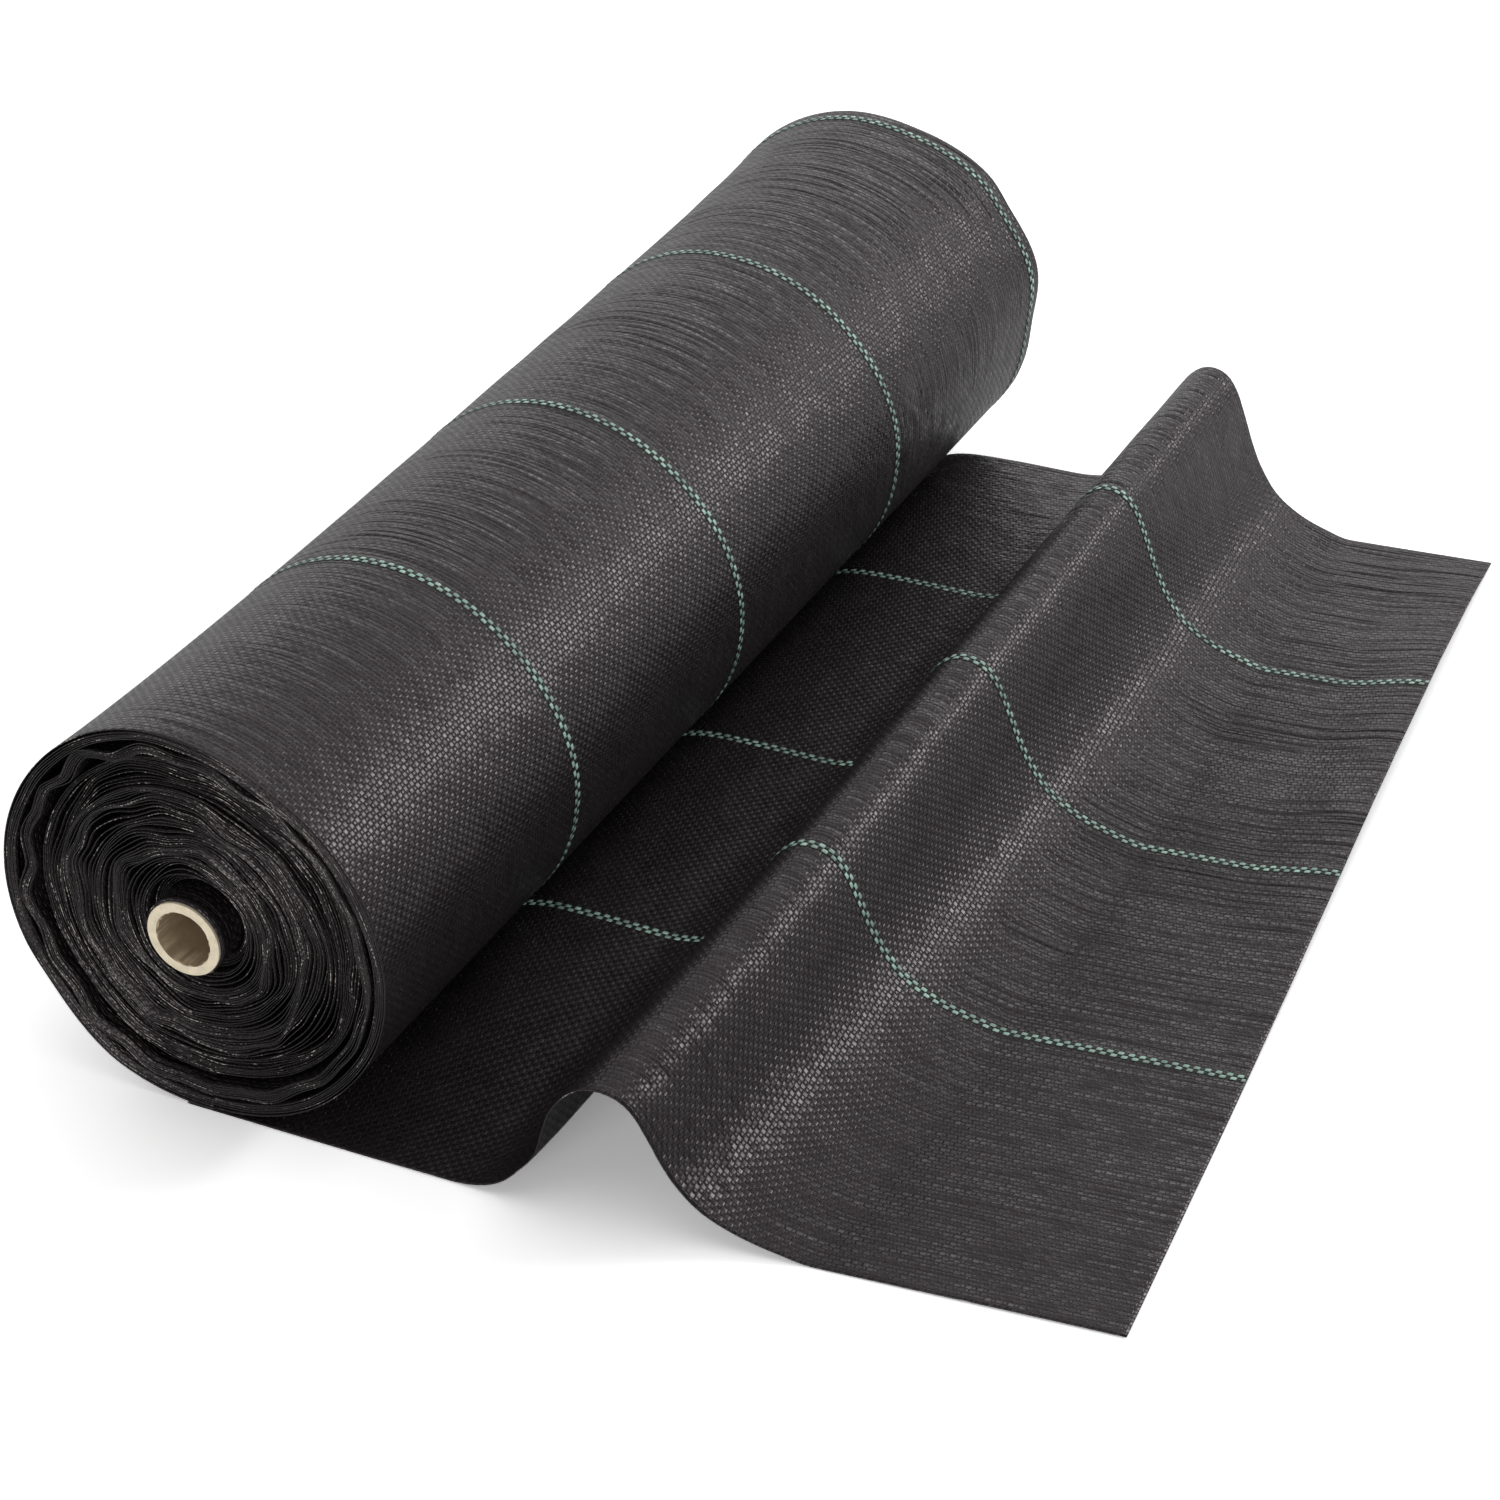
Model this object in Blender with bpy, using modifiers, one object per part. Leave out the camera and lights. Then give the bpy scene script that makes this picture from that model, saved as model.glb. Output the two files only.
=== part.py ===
"""Roll of woven weed control fabric, partly unrolled over the ground.

The roll lies along +Y, its cloth is laid out along +X and +Z is up. The cloth is wound on a
cardboard core. The last turn leaves the roll at the bottom, runs to a ridge that stands over
an open arch, and ends in a cut edge on the ground. Lengths are in metres.
"""
import math

import bmesh
import bpy
from mathutils import Vector

# Cloth
cloth_width = 1.000
cloth_thickness = 0.0010
clearance = 0.0003
merge_distance = 0.00001

# Roll
roll_radius = 0.1387
roll_segments = 64

# Cardboard core
core_radius = 0.026
core_wall = 0.007
core_slip = 0.010

# Bands of the winding: thickness from the core outwards, and how far each has slipped along
core_wraps_thickness = 0.0015
core_wraps_slip = -0.008
sunk_wraps_thickness = 0.0073
sunk_wraps_slip = 0.014
recess_slope_width = 0.002
inner_slip = 0.003
smooth_band_width = 0.016
smooth_band_slope_width = 0.002
smooth_band_slip = 0.008
outer_wraps_thickness = 0.0061

# Loose turns between the inner and the outer wraps, crimped into waves at both ends
loose_wraps_thickness = 0.0134
crimp_depth = 0.045
crimped_thickness_share = 0.46
crimp_height_share = 0.24
crimp_count = 17
crimp_beat_count = 11
crimp_beat_share = 0.35
crimp_segments = 128
crimp_depth_shares = (0.0, 0.3, 0.65, 1.0)

# Tracer tapes: width, thickness and places across the cloth
tracer_width = 0.007
tracer_thickness = 0.0004
tracer_gap_angle = math.radians(11.25)
wound_tracer_shares = (0.243, 0.478, 0.734, 0.986)
laid_tracer_shares = (0.277, 0.521, 0.787)

# Laid cloth: the far edge lies short of the roll's end, and past the ridge the cloth swings
far_shortfall = 0.0595
laid_swing = math.radians(5.5)
nip_tail = 0.020
run_off_reach = 0.095

# Ridge's place at the near end from the roll's axis, and lengths measured from that place
ridge_place_near = 0.2755
ridge_skew = 0.018
roll_side_foot = 0.0755
swing_lead = 0.049
free_side_foot = 0.1445
free_run = 0.3325

# Slack cloth between the roll and the ridge, lifted by its own curl away from the near edge
slack_lift = 0.026
slack_rise_share = 0.22
flank_share = 0.8
slack_shares = ((0.0, 1.0), (0.3, 1.0), (0.7, 0.9), (1.0, 0.8))

# Ridge: height and half widths at 40% of its height, near end and far end
ridge_height_near = 0.098
ridge_height_far = 0.1305
ridge_roll_side_near = 0.0415
ridge_roll_side_far = 0.0400
ridge_free_side_near = 0.0505
ridge_free_side_far = 0.0419
roll_side_shares = ((-2.5, 0.0), (-2.0, 0.03), (-1.6, 0.11), (-1.27, 0.25), (-1.0, 0.404),
                    (-0.87, 0.585), (-0.74, 0.747), (-0.51, 0.889), (-0.26, 0.972), (0.0, 1.0))
free_side_shares = ((0.0, 1.0), (0.3, 0.965), (0.5, 0.87), (0.68, 0.70), (0.83, 0.54),
                    (1.0, 0.40), (1.3, 0.24), (1.75, 0.12), (2.25, 0.045), (2.75, 0.0))

# Curl of the free end, highest at two thirds of the width
curl_height = 0.012
curl_length = 0.070
curl_start_share = 0.20

# Rows of the laid cloth across its width, besides the two at each tracer's sides
row_shares = (0.0, 0.05, 0.11, 0.18, 0.40, 0.65, 0.90, 1.0)
nip_rows = 4
slack_rows = 4
roll_side_rows = 11
free_side_rows = 13
flat_rows = 7

# Worked out from the sizes above
axis_height = roll_radius + cloth_thickness + clearance
turn_pitch = cloth_thickness + clearance
outer_wraps_radius = roll_radius - turn_pitch - cloth_thickness - clearance
loose_wraps_radius = outer_wraps_radius - outer_wraps_thickness - clearance
inner_wraps_radius = loose_wraps_radius - loose_wraps_thickness - clearance
core_wraps_radius = core_radius + clearance + core_wraps_thickness
sunk_wraps_radius = core_wraps_radius + clearance + sunk_wraps_thickness
inner_start_radius = sunk_wraps_radius + clearance
laid_width = cloth_width - far_shortfall
ridge_place_far = ridge_place_near + ridge_skew
slack_reach = ridge_place_near - roll_side_foot
swing_start = ridge_place_near - swing_lead
flat_start = ridge_place_near + free_side_foot
free_end_reach = ridge_place_near + free_run
tracer_offset = cloth_thickness + clearance
roll_reach = roll_radius - turn_pitch / 4 + clearance + tracer_thickness
near_reach = core_slip
far_reach = cloth_width + sunk_wraps_slip
origin_x = (free_end_reach - roll_reach) / 2
origin_y = (far_reach - near_reach) / 2


def clear_scene():
    for thing in list(bpy.data.objects):
        bpy.data.objects.remove(thing, do_unlink=True)


def make_material(name, colour, roughness):
    material = bpy.data.materials.new(name)
    material.use_nodes = True
    shader = material.node_tree.nodes["Principled BSDF"]
    shader.inputs["Base Color"].default_value = (*colour, 1.0)
    shader.inputs["Roughness"].default_value = roughness
    shader.inputs["Metallic"].default_value = 0.0
    material.diffuse_color = (*colour, 1.0)
    return material


def add_part(name, data, material, parent):
    part = bpy.data.objects.new(name, data)
    collection.objects.link(part)
    data.materials.append(material)
    part.parent = parent
    return part


def add_empty(name, parent, location):
    empty = bpy.data.objects.new(name, None)
    collection.objects.link(empty)
    empty.parent = parent
    empty.location = location
    return empty


def eased(value):
    """Ease from 0 to 1 with level ends."""
    value = min(max(value, 0.0), 1.0)
    return value * value * (3.0 - 2.0 * value)


def read_shares(shares, place):
    """Height of a smooth curve through the points of a table, at a place along it."""
    if place <= shares[0][0]:
        return shares[0][1]
    if place >= shares[-1][0]:
        return shares[-1][1]
    last = len(shares) - 1
    k = max(i for i in range(last) if shares[i][0] <= place)

    def slope(i):
        before = shares[max(i - 1, 0)]
        after = shares[min(i + 1, last)]
        return (after[1] - before[1]) / (after[0] - before[0])

    start, end = shares[k], shares[k + 1]
    span = end[0] - start[0]
    t = (place - start[0]) / span
    start_slope = 0.0 if k == 0 else slope(k)
    end_slope = 0.0 if k + 1 == last else slope(k + 1)
    return ((2 * t**3 - 3 * t**2 + 1) * start[1] + (t**3 - 2 * t**2 + t) * span * start_slope
            + (3 * t**2 - 2 * t**3) * end[1] + (t**3 - t**2) * span * end_slope)


# Wound cloth and core, built round the roll's axis

def turned_ring(name, outline, material, parent):
    """Ring turned from an outline of (radius, place along the roll), outer side first."""
    mesh = bpy.data.meshes.new(name)
    points = [(radius, 0.0, place) for radius, place in outline]
    edges = [(i, (i + 1) % len(points)) for i in range(len(points))]
    mesh.from_pydata(points, edges, [])
    ring = add_part(name, mesh, material, parent)
    ring.rotation_euler = (-math.pi / 2, 0.0, 0.0)
    screw = ring.modifiers.new("turn", "SCREW")
    screw.angle = 2 * math.pi
    screw.steps = roll_segments
    screw.render_steps = roll_segments
    screw.use_merge_vertices = True
    screw.merge_threshold = merge_distance
    screw.use_smooth_shade = True
    return ring


def plain_ring(name, outer, inner, slip, material, parent):
    near, far = slip, cloth_width + slip
    outline = [(outer, far), (outer, near), (inner, near), (inner, far)]
    return turned_ring(name, outline, material, parent)


def inner_wraps(material, parent):
    """Winding between the sunk wraps and the loose turns, its two ends telescoped alike."""
    outer, inner = inner_wraps_radius, inner_start_radius
    band = outer - smooth_band_width
    end_shape = [(outer, smooth_band_slip), (band, smooth_band_slip),
                 (band - smooth_band_slope_width, inner_slip),
                 (inner + recess_slope_width, inner_slip), (inner, sunk_wraps_slip)]
    near = [(radius, slip) for radius, slip in end_shape]
    far = [(radius, cloth_width + slip) for radius, slip in reversed(end_shape)]
    return turned_ring("inner_wraps", near + far, material, parent)


def crimped_radii(angle, amount):
    """Inner and outer radius of the loose turns where they are crimped by an amount 0 to 1."""
    full_outer = loose_wraps_radius
    full_inner = loose_wraps_radius - loose_wraps_thickness
    wave = (1.0 - crimp_beat_share) * math.sin(crimp_count * angle)
    wave += crimp_beat_share * math.sin(crimp_beat_count * angle)
    middle = (full_inner + full_outer) / 2 + crimp_height_share * loose_wraps_thickness * wave
    half = crimped_thickness_share * loose_wraps_thickness / 2
    inner = full_inner + amount * (middle - half - full_inner)
    outer = full_outer + amount * (middle + half - full_outer)
    return inner, outer


def loose_wraps(material, parent):
    """Turns that fill their band in mid-roll and are crimped into waves at both ends."""
    stations = [(share * crimp_depth, 1.0 - eased(share)) for share in crimp_depth_shares]
    stations += [(cloth_width - share * crimp_depth, 1.0 - eased(share))
                 for share in reversed(crimp_depth_shares)]
    bm = bmesh.new()
    loops = []
    for side in (1, 0):
        ordered = stations if side == 1 else list(reversed(stations))
        for place, amount in ordered:
            loop = []
            for k in range(crimp_segments):
                angle = 2 * math.pi * k / crimp_segments
                radius = crimped_radii(angle, amount)[side]
                loop.append(bm.verts.new((radius * math.cos(angle), place,
                                          -radius * math.sin(angle))))
            loops.append(loop)
    for i, loop in enumerate(loops):
        following = loops[(i + 1) % len(loops)]
        for k in range(crimp_segments):
            n = (k + 1) % crimp_segments
            bm.faces.new((loop[k], following[k], following[n], loop[n]))
    bmesh.ops.recalc_face_normals(bm, faces=bm.faces)
    mesh = bpy.data.meshes.new("loose_wraps")
    bm.to_mesh(mesh)
    bm.free()
    mesh.shade_smooth()
    return add_part("loose_wraps", mesh, material, parent)


def turn_radius(angle):
    """Radius of the outer turn's outside, from its tail at the bottom round the back."""
    return roll_radius - turn_pitch * angle / (2 * math.pi)


def wound_strip(name, place, width, offset, thickness, gap_angle, material, parent):
    """Strip wound one turn on the spiral of the outer turn, standing off it by an offset."""
    full = 2 * math.pi
    angles = [full * k / roll_segments for k in range(roll_segments + 1)]
    slack = full / roll_segments / 2
    angles = [a for a in angles if gap_angle - slack < a < full - gap_angle + slack]
    outside = [(turn_radius(a) + offset, a) for a in angles]
    inside = [(radius - thickness, a) for radius, a in reversed(outside)]
    curve = bpy.data.curves.new(name, "CURVE")
    curve.dimensions = "2D"
    curve.fill_mode = "BOTH"
    curve.extrude = width / 2
    spline = curve.splines.new("POLY")
    spline.points.add(len(outside) + len(inside) - 1)
    for point, (radius, a) in zip(spline.points, outside + inside):
        point.co = (-radius * math.sin(a), radius * math.cos(a), 0.0, 1.0)
    spline.use_cyclic_u = True
    strip = add_part(name, curve, material, parent)
    strip.rotation_euler = (-math.pi / 2, 0.0, 0.0)
    strip.location = (0.0, place, 0.0)
    return strip


# Laid cloth, built on the ground with x from the roll's axis and y from its near end

def swung(x):
    """Sideways shift of the near edge, which stays square to the roll up to the ridge."""
    return math.tan(laid_swing) * max(x - swing_start, 0.0)


def cloth_y(x, v):
    near = swung(x)
    far = laid_width + math.tan(laid_swing) * x
    return near + v * (far - near)


def free_end_x(v):
    return free_end_reach - math.tan(laid_swing) * v * laid_width


def ridge_shape(v):
    """Height, place, and half widths of the ridge at a share of the way across."""
    height = ridge_height_far - (ridge_height_far - ridge_height_near) * (1 - v)**3
    place = ridge_place_far - (ridge_place_far - ridge_place_near) * (1 - v)**5
    roll_side = ridge_roll_side_near + (ridge_roll_side_far - ridge_roll_side_near) * v
    free_side = ridge_free_side_near + (ridge_free_side_far - ridge_free_side_near) * v**2
    return height, place, roll_side, free_side


def slack_height(x, v):
    """Lift of the cloth up the roll's flank and on to the ridge, none at the near edge."""
    lift = slack_lift * read_shares(slack_shares, x / slack_reach)
    if abs(x) < roll_radius:
        flank = flank_share * (roll_radius - math.sqrt(roll_radius**2 - x**2))
        lift = lift * flank / (lift**4 + flank**4)**0.25
    return lift * eased(v / slack_rise_share)


def cloth_z(x, v):
    """Height of the laid cloth's underside."""
    height, place, roll_side, free_side = ridge_shape(v)
    slack = slack_height(x, v) * (1.0 - eased((x - slack_reach) / (place - slack_reach)))
    if x < place:
        rise = read_shares(roll_side_shares, (x - place) / roll_side)
    else:
        rise = read_shares(free_side_shares, (x - place) / free_side)
    across = max(v - curl_start_share, 0.0) / (1.0 - curl_start_share)
    # The factor makes this cubic 1 at its highest, two thirds of the way across
    bow = 27 / 4 * across**2 * (1.0 - across)
    curl = curl_height * bow * eased(1.0 - (free_end_x(v) - x) / curl_length)
    return slack + (height - slack) * rise + curl


def cloth_point(x, v):
    return Vector((x, cloth_y(x, v), cloth_z(x, v)))


def cloth_normal(x, v):
    small = cloth_thickness / 10
    step_v = small / laid_width
    inner_v = min(v, 1.0 - step_v)
    along = cloth_point(x + small, v) - cloth_point(x - small, v)
    across = cloth_point(x, inner_v + step_v) - cloth_point(x, inner_v)
    return along.cross(across).normalized()


def between(start, end, count):
    return [start + (end - start) * k / count for k in range(count + 1)]


def nip_stations(v):
    """Places from under the roll to where the cloth has left its flank."""
    return between(-nip_tail, run_off_reach - clearance / 2, 2 * nip_rows)


def clear_nip_stations(v):
    """The outer half of those places, where a tracer has room under the roll's flank."""
    return nip_stations(v)[nip_rows:]


def slack_stations(v):
    return between(run_off_reach + clearance / 2, slack_reach - clearance / 2, slack_rows)


def laid_stations(v):
    """Places along the laid cloth, closer together where the ridge is steep."""
    height, place, roll_side, free_side = ridge_shape(v)
    start = slack_reach + clearance / 2
    up = [start + (place - start) * math.sin(math.pi / 2 * k / roll_side_rows)
          for k in range(roll_side_rows)]
    down = [place + (flat_start - place) * (1 - math.cos(math.pi / 2 * k / free_side_rows))
            for k in range(free_side_rows)]
    return up + down + between(flat_start, free_end_x(v), flat_rows)


def cloth_rows():
    rows = list(row_shares)
    half = tracer_width / laid_width / 2
    for share in laid_tracer_shares:
        rows += [share - half, share + half]
    return sorted(rows)


def cloth_stretch(name, stations, rows, offset, thickness, material, parent):
    """Length of laid cloth or tracer: a grid moved onto the cloth's surface and thickened."""
    bm = bmesh.new()
    count = len(stations(0.0))
    bmesh.ops.create_grid(bm, x_segments=count - 1, y_segments=len(rows) - 1, size=1.0)
    for vert in bm.verts:
        i = round((vert.co.x + 1) / 2 * (count - 1))
        v = rows[round((vert.co.y + 1) / 2 * (len(rows) - 1))]
        x = stations(v)[i]
        vert.co = cloth_point(x, v) + offset * cloth_normal(x, v)
    mesh = bpy.data.meshes.new(name)
    bm.to_mesh(mesh)
    bm.free()
    mesh.shade_smooth()
    stretch = add_part(name, mesh, material, parent)
    shell = stretch.modifiers.new("thickness", "SOLIDIFY")
    shell.thickness = thickness
    shell.offset = 1.0
    shell.use_even_offset = True
    return stretch


def build_roll(black, green, card, parent):
    axis = add_empty("roll_axis", parent, (0.0, 0.0, axis_height))
    plain_ring("core_tube", core_radius, core_radius - core_wall, -core_slip, card, axis)
    plain_ring("core_wraps", core_wraps_radius, core_radius + clearance, core_wraps_slip,
               black, axis)
    plain_ring("sunk_wraps", sunk_wraps_radius, core_wraps_radius + clearance,
               sunk_wraps_slip, black, axis)
    inner_wraps(black, axis)
    loose_wraps(black, axis)
    plain_ring("outer_wraps", outer_wraps_radius, outer_wraps_radius - outer_wraps_thickness,
               0.0, black, axis)
    wound_strip("outer_turn", cloth_width / 2, cloth_width, 0.0, cloth_thickness, 0.0,
                black, axis)
    for number, share in enumerate(wound_tracer_shares, start=1):
        wound_strip(f"tracer_{number}_wound", share * cloth_width, tracer_width,
                    clearance + tracer_thickness, tracer_thickness, tracer_gap_angle,
                    green, axis)


def build_laid_cloth(black, green, parent):
    half = tracer_width / laid_width / 2
    stretches = (("run_off", nip_stations, clear_nip_stations),
                 ("slack_run", slack_stations, slack_stations),
                 ("laid_sheet", laid_stations, laid_stations))
    for stretch, stations, tracer_stations in stretches:
        cloth_stretch(stretch, stations, cloth_rows(), 0.0, cloth_thickness, black, parent)
        for number, share in enumerate(laid_tracer_shares, start=1):
            cloth_stretch(f"tracer_{number}_{stretch}", tracer_stations,
                          [share - half, share + half], tracer_offset, tracer_thickness,
                          green, parent)


clear_scene()
collection = bpy.data.collections.new("weed_fabric_roll")
bpy.context.scene.collection.children.link(collection)
black_cloth = make_material("black_woven_tape", (0.035, 0.032, 0.034), 0.42)
green_tape = make_material("green_tracer_tape", (0.10, 0.36, 0.27), 0.40)
cardboard = make_material("cream_cardboard", (0.78, 0.68, 0.50), 0.85)
ground_point = add_empty("ground_point", None, (-origin_x, -origin_y, 0.0))
build_roll(black_cloth, green_tape, cardboard, ground_point)
build_laid_cloth(black_cloth, green_tape, ground_point)
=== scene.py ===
"""Roll of black woven weed control cloth, part unrolled over a standing ridge.

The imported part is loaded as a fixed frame. Each operator makes one piece, or a group of like
pieces, round it: the cardboard core, the wound turns, the outermost turn, the laid cloth, the
green tracer tapes and the stage. Lengths are in metres, in the frame of the part.
"""

import math
from collections import namedtuple
from functools import partial

import bpy
import numpy as np
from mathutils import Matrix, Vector


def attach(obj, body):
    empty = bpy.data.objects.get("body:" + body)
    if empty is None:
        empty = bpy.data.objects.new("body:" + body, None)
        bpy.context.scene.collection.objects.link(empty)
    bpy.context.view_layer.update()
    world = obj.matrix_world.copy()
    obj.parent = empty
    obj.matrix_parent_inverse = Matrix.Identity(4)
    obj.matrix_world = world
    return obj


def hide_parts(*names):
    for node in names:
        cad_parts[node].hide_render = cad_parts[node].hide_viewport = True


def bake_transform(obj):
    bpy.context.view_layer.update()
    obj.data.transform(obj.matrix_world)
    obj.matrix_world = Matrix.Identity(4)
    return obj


bl_info = {
    "name": "Weed Control Cloth Roll",
    "version": (1, 0, 0),
    "blender": (4, 5, 0),
    "location": "View3D > Sidebar > Cloth Roll",
    "description": "Dresses a packed roll of woven weed control cloth",
    "category": "Object",
}

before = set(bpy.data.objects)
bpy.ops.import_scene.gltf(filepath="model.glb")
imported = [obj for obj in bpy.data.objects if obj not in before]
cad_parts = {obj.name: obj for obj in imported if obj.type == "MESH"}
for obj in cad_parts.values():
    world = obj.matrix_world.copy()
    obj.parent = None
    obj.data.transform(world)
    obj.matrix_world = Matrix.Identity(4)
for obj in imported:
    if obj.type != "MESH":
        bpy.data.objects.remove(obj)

MM = 0.001
FULL_TURN = 2 * math.pi

# The frame's origin lies under the middle of the whole box, these far from the roll's axis and
# from the near end of the wound cloth
ORIGIN_X = 0.2344625
ORIGIN_Y = 0.502

# Ridge across the laid cloth: share of its height against distance from its crest in half widths
ROLL_SIDE_SHARES = ((-2.5, 0.0), (-2.0, 0.03), (-1.6, 0.11), (-1.27, 0.25), (-1.0, 0.404),
                    (-0.87, 0.585), (-0.74, 0.747), (-0.51, 0.889), (-0.26, 0.972), (0.0, 1.0))
FREE_SIDE_SHARES = ((0.0, 1.0), (0.3, 0.965), (0.5, 0.87), (0.68, 0.70), (0.83, 0.54),
                    (1.0, 0.40), (1.3, 0.24), (1.75, 0.12), (2.25, 0.045), (2.75, 0.0))
SLACK_SHARES = ((0.0, 1.0), (0.3, 1.0), (0.7, 0.9), (1.0, 0.8))

# The slack cloth lies this share of the way up to the roll's flank at most, and lifts within
# this share of the width from its near edge
FLANK_SHARE = 0.8
SLACK_EDGE_SHARE = 0.22

# The free end curls up from this share of the width on
CURL_START_SHARE = 0.2

# Soft waves of the laid cloth: their length and width, where they start and how fast
SOFT_WAVE_LENGTH = 0.11
SOFT_WAVE_WIDTH = 0.028
SOFT_WAVE_START = 0.10
SOFT_WAVE_RISE = 0.08

# How far the roll is out of round at its middle and at each end, in mm, against degrees from the
# top towards the laid cloth. It is round at the bottom, where it rests and rolls.
MIDDLE_LUMPS = ((-180, 0), (-150, 0), (-110, -1.5), (-75, -4.0), (-40, -5.4), (-10, -4.8),
                (12, -4.3), (32, -3.5), (48, -2.7), (60, -1.0), (72, 0.4), (84, 1.3),
                (100, 1.0), (118, 0.4), (135, 0), (180, 0))
NEAR_END_LUMPS = ((-180, 0), (-160, 1.8), (-148, 2.6), (-124, -2.4), (-108, 0), (-80, 1.6),
                  (-50, 2.2), (-14, 3.6), (6, 0.4), (29, -3.4), (47, -1.6), (66, -1.5),
                  (89, -1.0), (111, -0.4), (131, -1.0), (155, 0), (180, 0))
FAR_END_LUMPS = ((-180, 0), (-150, 0), (-90, 0.8), (-40, 0.9), (-10, 0), (13, -2.9), (24, -1.8),
                 (43, 1.0), (56, -1.8), (77, 1.7), (96, -4.4), (112, -2.0), (125, 0), (180, 0))
NEAR_LUMP_REACH = 0.12
FAR_LUMP_REACH = 0.10

# Waves of the crimped turns at the roll's ends, and how far in they reach
CRIMP_COUNT = 17
CRIMP_BEAT_COUNT = 11
CRIMP_BEAT_SHARE = 0.35
CRIMP_DEPTH = 0.045

# Spacing of the rows of faces along the laid cloth, and their number across it
LAID_STEP = 0.0053
LAID_COLUMNS = 305

# Width of the two narrow rings at the edges of the core's cut ends
EDGE_RING = 0.0006

# Bands of the winding. Slips are how far the two ends lie in, in mm, against the share of the
# band. Spread is how unevenly the turns lie; ragged and bunch shape the edges, in mm.
Band = namedtuple("Band", "name node inner outer turns steps slips spread ragged bunch")
BANDS = (
    Band("collar_turns", "core_wraps", 0.0262, 0.0276, 2, 96, ((0, -9.6), (1, -9.2)),
         0.2, 0.1, 0.1),
    Band("sunk_turns", "sunk_wraps", 0.0282, 0.0350, 5, 128, ((0, 14), (1, 13)),
         0.6, 0.8, 1.0),
    Band("recess_turns", "inner_wraps", 0.0356, 0.0500, 7, 192, ((0, 5), (0.3, 2.5), (1, 3)),
         1.0, 1.6, 1.6),
    Band("rough_inner_turns", "inner_wraps", 0.0502, 0.0743, 15, 288,
         ((0, 3), (0.2, 2.5), (1, 2.5)), 1.1, 1.7, 1.9),
    Band("rough_outer_turns", "inner_wraps", 0.0745, 0.0985, 15, 320, ((0, 2.5), (1, 2.5)),
         1.1, 1.7, 1.9),
    Band("smooth_turns", "inner_wraps", 0.0987, 0.1158, 11, 224, ((0, 5), (0.15, 8), (1, 9)),
         0.9, 0.8, 1.0),
    Band("crimped_turns", "loose_wraps", 0.1163, 0.1297, 7, 384, ((0, 1), (1, 0.5)),
         1.0, 1.0, 1.2),
    Band("outer_turns", "outer_wraps", 0.1301, 0.1365, 5, 288, ((0, 0.8), (1, 0.2)),
         0.7, 0.6, 0.5),
)

# Bands further out than this follow the roll's sag, at these depths from the near and far end
SAGGING_RADIUS = 0.09
SAG_DEPTHS = (0.10, 0.18, 0.30, 0.50), (0.10, 0.20, 0.35)

# Softboxes: name, place, size and power in watts; all face a point low over the part's middle
LAMPS = (
    ("back right softbox", (3.0, 2.96, 2.03), (2.2, 1.3), 82.0),
    ("back softbox", (-0.23, 2.0, 0.95), (1.4, 0.7), 3.0),
    ("top softbox", (0.3, -0.6, 3.0), (2.4, 2.4), 14.0),
    ("front softbox", (0.1, -3.0, 0.5), (1.4, 0.8), 30.0),
)
LAMP_TARGET = (0.0, 0.0, 0.1)

# Studio's brightness: dimmer over the roll, darker before it, dimmer on its right and brighter
# on its left. Each row is a direction's axis, from, to, and the strength at the two.
STUDIO_GRADES = (("Z", 0.3, 0.95, 1.0, 0.55), ("Y", -0.25, 0.35, 0.3, 1.0),
                 ("X", 0.3, 0.65, 1.0, 0.25), ("X", -0.9, -0.3, 1.5, 1.0))


# Sizes and colours that a user would change

def from_hex(code):
    """Linear colour from an sRGB hex value."""
    parts = [int(code[k:k + 2], 16) / 255 for k in (1, 3, 5)]
    return tuple(c / 12.92 if c <= 0.04045 else ((c + 0.055) / 1.055) ** 2.4 for c in parts)


def length_property(name, about, default, **settings):
    return bpy.props.FloatProperty(name=name, description=about, default=default,
                                   unit="LENGTH", **settings)


def near_and_far_property(name, about, near, far):
    """Property for a length at the near and at the far side of the laid cloth."""
    return bpy.props.FloatVectorProperty(name=name, description=about, default=(near, far),
                                         size=2, unit="LENGTH")


def shares_property(name, about, shares):
    return bpy.props.FloatVectorProperty(name=name, description=about, default=shares,
                                         size=len(shares), subtype="NONE")


def colour_property(name, about, code):
    return bpy.props.FloatVectorProperty(name=name, description=about, default=from_hex(code),
                                         size=3, subtype="COLOR", min=0, max=1)


class RollSizes(bpy.types.PropertyGroup):
    cloth_width: length_property("Cloth width", "Width of the wound cloth", 1.0)
    roll_radius: length_property("Roll radius", "Outside of the outermost turn at its tail", 0.1387)
    axis_height: length_property("Axis height", "Height of the roll's axis over the ground", 0.14)
    turn_pitch: length_property("Turn pitch", "How far the outermost turn runs in over one turn", 0.0013)
    core_radius: length_property("Core radius", "Outside of the cardboard core", 0.026)
    core_wall: length_property("Core wall", "Wall of the cardboard core", 0.007)
    core_slip: length_property("Core slip", "How far the core stands out at the near end", 0.0115)
    cloth_thickness: length_property("Cloth thickness", "Thickness of the woven cloth", 0.0005)


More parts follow.
